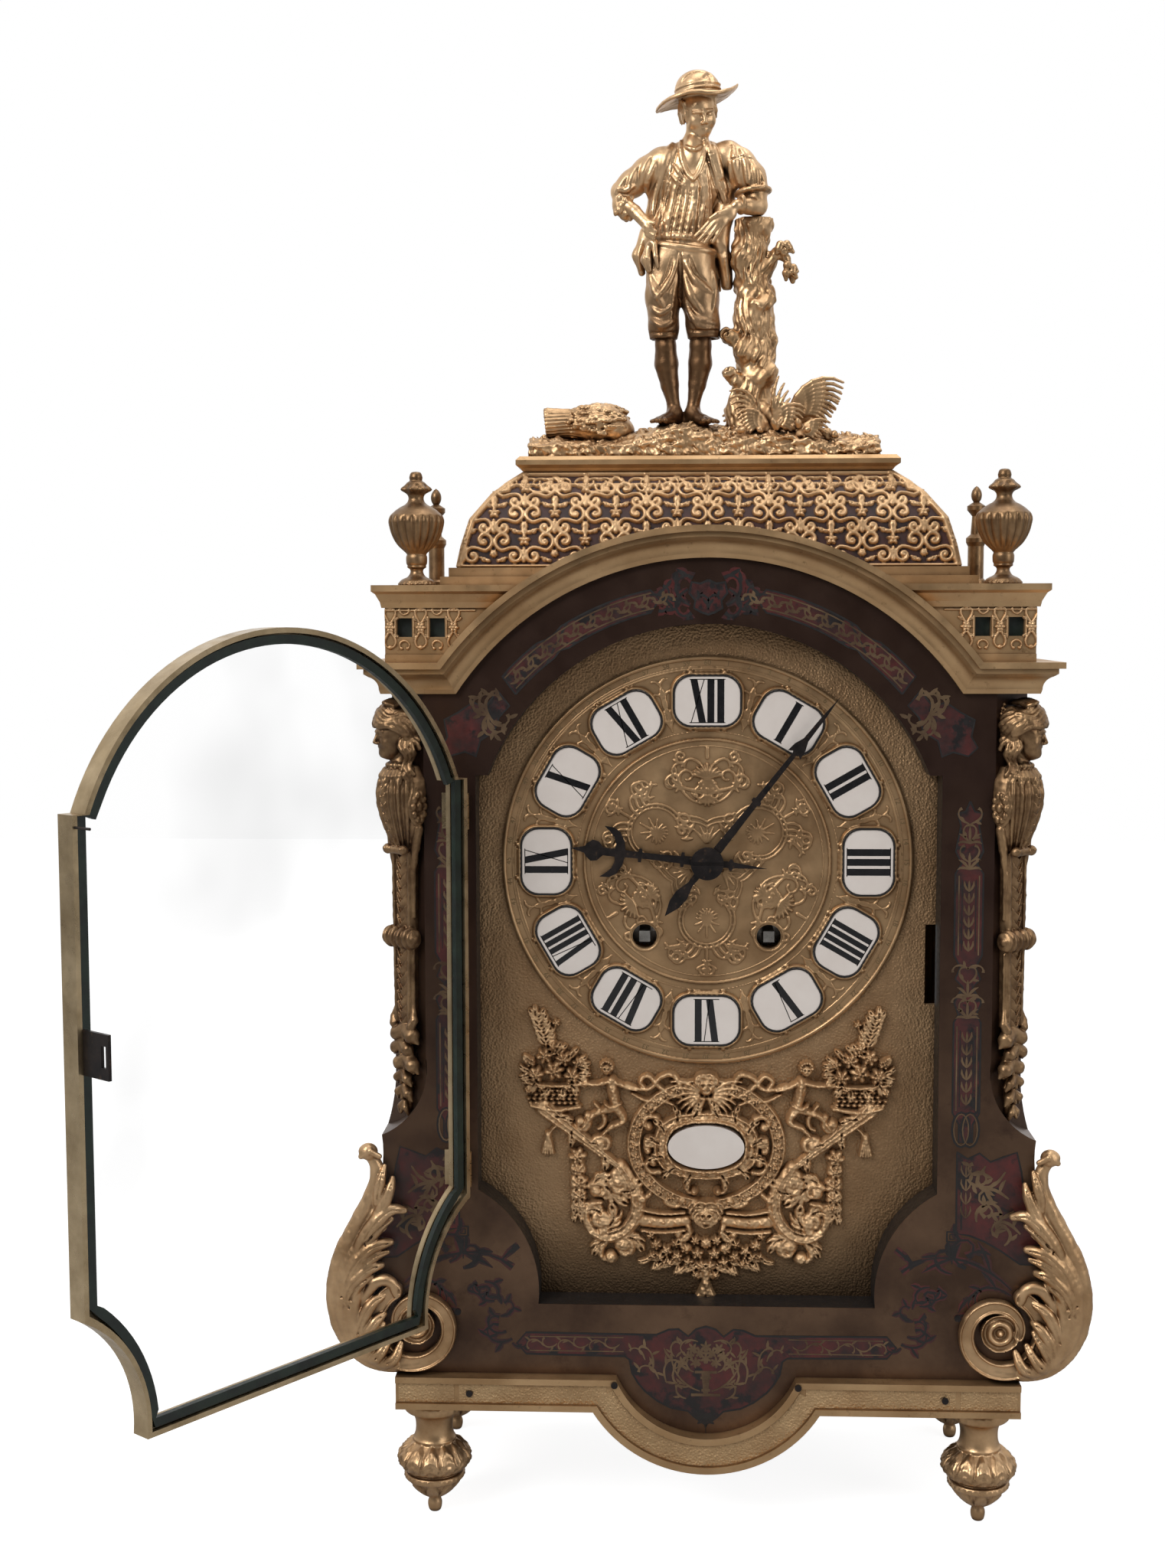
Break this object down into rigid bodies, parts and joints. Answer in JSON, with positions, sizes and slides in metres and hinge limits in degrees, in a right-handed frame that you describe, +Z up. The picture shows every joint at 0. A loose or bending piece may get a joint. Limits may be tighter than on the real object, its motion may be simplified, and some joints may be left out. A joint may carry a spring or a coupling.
{
  "type": "table clock",
  "caption": "Marquetry table clock with gilt mounts, pierced dome, figure on top, enamel numeral dial and a glazed arched door that stands open.",
  "frame": {"origin": "midway between the tips of the four feet, on the surface that the clock stands on", "axes": "+Z up, +X to the right of someone who faces the dial, the dial looks towards -Y"},
  "size_m": [0.4628, 0.3509, 0.7475],
  "materials": {
    "marquetry": "gloss",
    "oak": "matte",
    "gilt_mounts": "satin",
    "dial_brass": "satin",
    "enamel": "gloss",
    "glass": "gloss",
    "blackened_steel": "satin",
    "steel": "satin",
    "movement_brass": "satin",
    "bell_metal": "satin",
    "red_lining": "satin"
  },
  "bodies": {
    "case": {"front_board": "marquetry", "side_boards": "marquetry", "top_and_bottom_boards": "oak", "back_frame": "oak", "feet": "gilt_mounts", "base_mouldings": "gilt_mounts", "crown_mouldings": "gilt_mounts", "frieze": "gilt_mounts", "cornice": "gilt_mounts", "plinth_step": "oak", "dome_lining": "red_lining", "dome_fretwork": "gilt_mounts", "dome_rim": "gilt_mounts", "figure_base": "gilt_mounts", "boy_figure": "gilt_mounts", "tree_stump": "gilt_mounts", "wheat_sheaf": "gilt_mounts", "ground_foliage": "gilt_mounts", "urn_finials": "gilt_mounts", "rear_finials": "gilt_mounts", "caryatids": "gilt_mounts", "scroll_mounts": "gilt_mounts", "dial_plate": "dial_brass", "dial_disc": "dial_brass", "enamel_cartouches": "enamel", "lower_mount": "gilt_mounts", "enamel_plaque": "enamel", "case_hinges": "movement_brass", "movement_frame": "movement_brass", "bell": "bell_metal", "suspension_cock": "movement_brass", "case_screws": "steel"},
    "front_door": {"door_frame": "gilt_mounts", "door_glass": "glass", "door_catch": "steel", "door_hinges": "movement_brass"},
    "back_door": {"back_door_frame": "oak", "back_door_glass": "glass", "back_door_knob": "movement_brass"},
    "minute_work": {"minute_hand": "blackened_steel", "cannon_pinion": "steel"},
    "hour_work": {"hour_hand": "blackened_steel", "hour_wheel": "movement_brass"},
    "minute_wheel": {"minute_wheel": "movement_brass"},
    "centre_wheel": {"centre_wheel": "movement_brass"},
    "going_intermediate": {"going_intermediate": "movement_brass"},
    "going_barrel": {"going_barrel": "movement_brass"},
    "going_winder": {"going_winder": "steel"},
    "third_wheel": {"third_wheel": "movement_brass"},
    "escape_wheel": {"escape_wheel": "movement_brass"},
    "anchor": {"anchor": "steel"},
    "pendulum": {"pendulum": "movement_brass"},
    "pin_wheel": {"pin_wheel": "movement_brass"},
    "strike_intermediate": {"strike_intermediate": "movement_brass"},
    "strike_barrel": {"strike_barrel": "movement_brass"},
    "strike_winder": {"strike_winder": "steel"},
    "warning_wheel": {"warning_wheel": "movement_brass"},
    "fly": {"fly": "steel"},
    "hammer": {"hammer": "steel"}
  },
  "joints": [
    {"name": "front_door_hinge", "type": "hinge", "parent": "case", "child": "front_door", "pos_m": [-0.1218, -0.0701, 0.28], "axis": [0, 0, 1], "range_deg": [-20, 127.7]},
    {"name": "back_door_hinge", "type": "hinge", "parent": "case", "child": "back_door", "pos_m": [0.1086, 0.074, 0.28], "axis": [0, 0, -1], "range_deg": [0, 110]},
    {"name": "minute_hand_turn", "type": "hinge", "parent": "case", "child": "minute_work", "pos_m": [0, 0, 0.3446], "axis": [0, 1, 0], "continuous": true},
    {"name": "hour_hand_turn", "type": "hinge", "parent": "case", "child": "hour_work", "pos_m": [0, 0, 0.3446], "axis": [0, 1, 0], "continuous": true},
    {"name": "minute_wheel_turn", "type": "hinge", "parent": "case", "child": "minute_wheel", "pos_m": [0, 0, 0.3566], "axis": [0, 1, 0], "continuous": true},
    {"name": "centre_wheel_turn", "type": "hinge", "parent": "case", "child": "centre_wheel", "pos_m": [0, 0, 0.3446], "axis": [0, 1, 0], "continuous": true},
    {"name": "going_intermediate_turn", "type": "hinge", "parent": "case", "child": "going_intermediate", "pos_m": [0.01931, 0, 0.33305], "axis": [0, 1, 0], "continuous": true},
    {"name": "going_barrel_turn", "type": "hinge", "parent": "case", "child": "going_barrel", "pos_m": [0.0315, 0, 0.3063], "axis": [0, 1, 0], "continuous": true},
    {"name": "going_winder_turn", "type": "hinge", "parent": "case", "child": "going_winder", "pos_m": [0.0315, 0, 0.3063], "axis": [0, 1, 0], "continuous": true},
    {"name": "third_wheel_turn", "type": "hinge", "parent": "case", "child": "third_wheel", "pos_m": [0.00618, 0, 0.36202], "axis": [0, 1, 0], "continuous": true},
    {"name": "escape_wheel_turn", "type": "hinge", "parent": "case", "child": "escape_wheel", "pos_m": [0, 0, 0.3766], "axis": [0, 1, 0], "continuous": true},
    {"name": "pendulum_swing", "type": "hinge", "parent": "case", "child": "pendulum", "pos_m": [0, 0, 0.3931], "axis": [0, 1, 0], "range_deg": [-3.5, 3.5]},
    {"name": "anchor_rock", "type": "hinge", "parent": "case", "child": "anchor", "pos_m": [0, 0, 0.3931], "axis": [0, 1, 0], "range_deg": [-3.5, 3.5]},
    {"name": "pin_wheel_turn", "type": "hinge", "parent": "case", "child": "pin_wheel", "pos_m": [-0.02399, 0, 0.35327], "axis": [0, 1, 0], "continuous": true},
    {"name": "strike_intermediate_turn", "type": "hinge", "parent": "case", "child": "strike_intermediate", "pos_m": [-0.03661, 0, 0.33525], "axis": [0, 1, 0], "continuous": true},
    {"name": "strike_barrel_turn", "type": "hinge", "parent": "case", "child": "strike_barrel", "pos_m": [-0.0315, 0, 0.3063], "axis": [0, 1, 0], "continuous": true},
    {"name": "strike_winder_turn", "type": "hinge", "parent": "case", "child": "strike_winder", "pos_m": [-0.0315, 0, 0.3063], "axis": [0, 1, 0], "continuous": true},
    {"name": "warning_wheel_turn", "type": "hinge", "parent": "case", "child": "warning_wheel", "pos_m": [-0.02125, 0, 0.36879], "axis": [0, 1, 0], "continuous": true},
    {"name": "fly_turn", "type": "hinge", "parent": "case", "child": "fly", "pos_m": [-0.01794, 0, 0.38115], "axis": [0, 1, 0], "continuous": true},
    {"name": "hammer_swing", "type": "hinge", "parent": "case", "child": "hammer", "pos_m": [-0.044, 0, 0.3666], "axis": [0, 1, 0], "range_deg": [-14, 1.5], "stiffness_Nm_per_rad": 0.15}
  ],
  "couplings": [
    {"joint": "minute_wheel_turn", "follows": "minute_hand_turn", "ratio": -0.33333},
    {"joint": "hour_hand_turn", "follows": "minute_hand_turn", "ratio": 0.083333},
    {"joint": "third_wheel_turn", "follows": "centre_wheel_turn", "ratio": -10},
    {"joint": "escape_wheel_turn", "follows": "centre_wheel_turn", "ratio": 100},
    {"joint": "going_intermediate_turn", "follows": "centre_wheel_turn", "ratio": -0.125},
    {"joint": "going_barrel_turn", "follows": "centre_wheel_turn", "ratio": 0.020833},
    {"joint": "anchor_rock", "follows": "pendulum_swing", "ratio": 1},
    {"joint": "strike_intermediate_turn", "follows": "pin_wheel_turn", "ratio": -0.12821},
    {"joint": "strike_barrel_turn", "follows": "pin_wheel_turn", "ratio": 0.021368},
    {"joint": "warning_wheel_turn", "follows": "pin_wheel_turn", "ratio": -6},
    {"joint": "fly_turn", "follows": "pin_wheel_turn", "ratio": 32.4}
  ]
}
